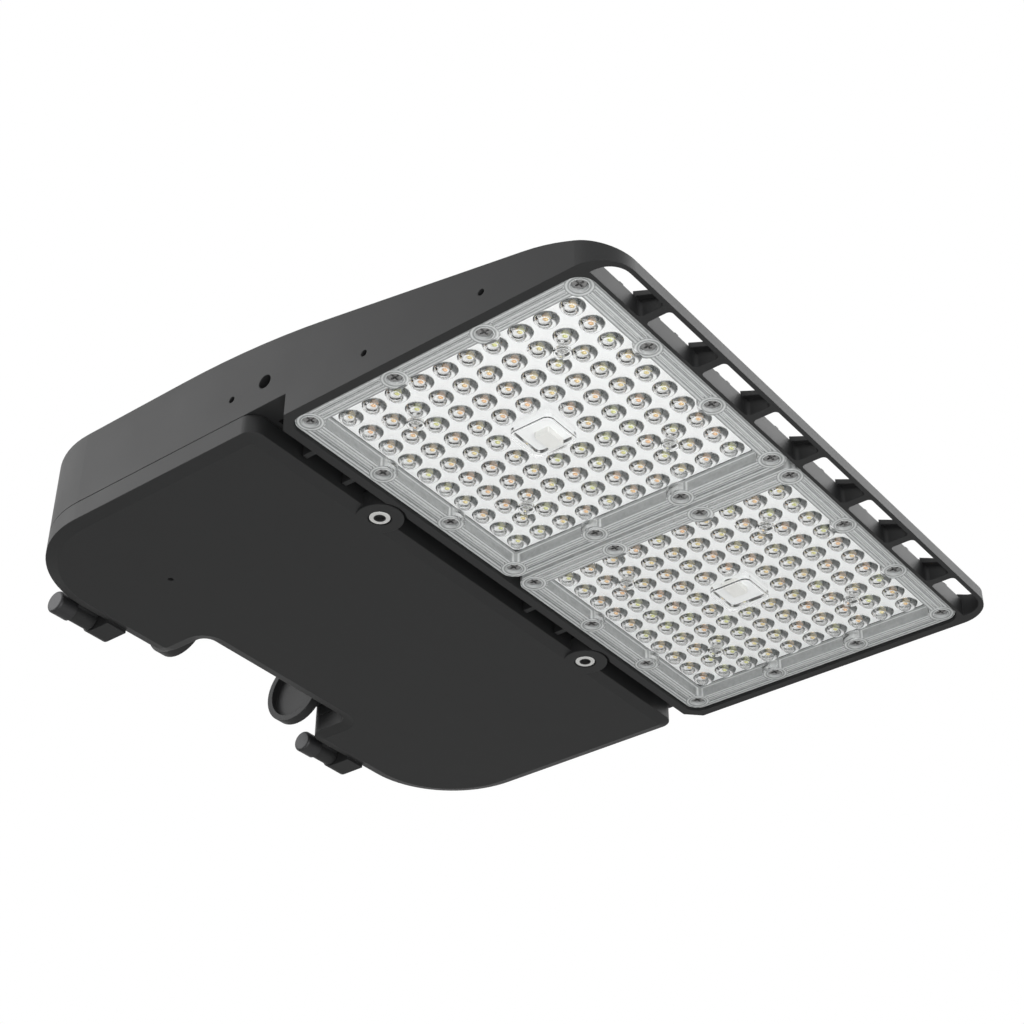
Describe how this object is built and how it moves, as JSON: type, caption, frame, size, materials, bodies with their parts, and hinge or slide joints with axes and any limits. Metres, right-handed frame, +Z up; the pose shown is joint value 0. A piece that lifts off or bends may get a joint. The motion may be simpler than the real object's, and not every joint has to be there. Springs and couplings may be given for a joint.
{
  "type": "shoebox area light",
  "caption": "Flat rectangular LED area light for a pole arm: cast housing with fins, hinged door below the driver box, two square lens plates and a slotted front bar.",
  "frame": {"origin": "centre of the arm's four bolt holes, on the notch's flat front wall", "axes": "+X to the right when looking along +Y, +Y from the arm to the LED end, +Z up; the lamp shines towards -Z"},
  "size_m": [0.346, 0.4013, 0.0547],
  "materials": {
    "black_casting": "dark grey powder coat on a die casting, fine satin texture",
    "black_rubber": "black silicone rubber",
    "bright_steel": "bright stainless steel",
    "dark_steel": "blackened steel",
    "clear_lens": "clear moulded polycarbonate",
    "white_board": "white solder mask on a metal-core board",
    "led_yellow": "warm phosphor LED package",
    "white_nylon": "white nylon",
    "driver_case": "grey anodised driver case, potted",
    "grey_plastic": "grey moulded plastic",
    "red_plastic": "dark red potted case",
    "lead_jacket": "black lead jacket",
    "green_steel": "green passivated steel"
  },
  "bodies": {
    "root": {"housing": "black_casting", "hinge_pin_left": "dark_steel", "hinge_pin_right": "dark_steel", "lens_plate_left": "clear_lens", "lens_plate_right": "clear_lens", "lens_gasket_left": "black_rubber", "lens_gasket_right": "black_rubber", "led_board_left": "white_board", "led_board_right": "white_board", "led_chips_left": "led_yellow", "led_chips_right": "led_yellow", "board_connector_left": "white_nylon", "board_connector_right": "white_nylon", "lens_screws": "bright_steel", "board_screws": "bright_steel", "led_driver": "driver_case", "driver_screws": "bright_steel", "terminal_block": "grey_plastic", "terminal_screws": "bright_steel", "surge_protector": "red_plastic", "surge_screws": "bright_steel", "ground_screw": "green_steel", "wire_grommet": "black_rubber", "led_lead_left": "lead_jacket", "led_lead_right": "lead_jacket", "supply_leads": "lead_jacket", "surge_leads": "lead_jacket"},
    "door": {"door": "black_casting", "door_gasket": "black_rubber", "screw_retainers": "white_nylon"},
    "screw_left": {"captive_screw_left": "bright_steel"},
    "screw_right": {"captive_screw_right": "bright_steel"}
  },
  "joints": [
    {"name": "door_swing", "type": "hinge", "parent": "root", "child": "door", "pos_m": [0, -0.0435, -0.028], "axis": [-1, 0, 0], "range_deg": [0, 95]},
    {"name": "screw_left_undo", "type": "slide", "parent": "door", "child": "screw_left", "axis": [0, 0, -1], "range_m": [0, 0.007]},
    {"name": "screw_right_undo", "type": "slide", "parent": "door", "child": "screw_right", "axis": [0, 0, -1], "range_m": [0, 0.007]}
  ]
}
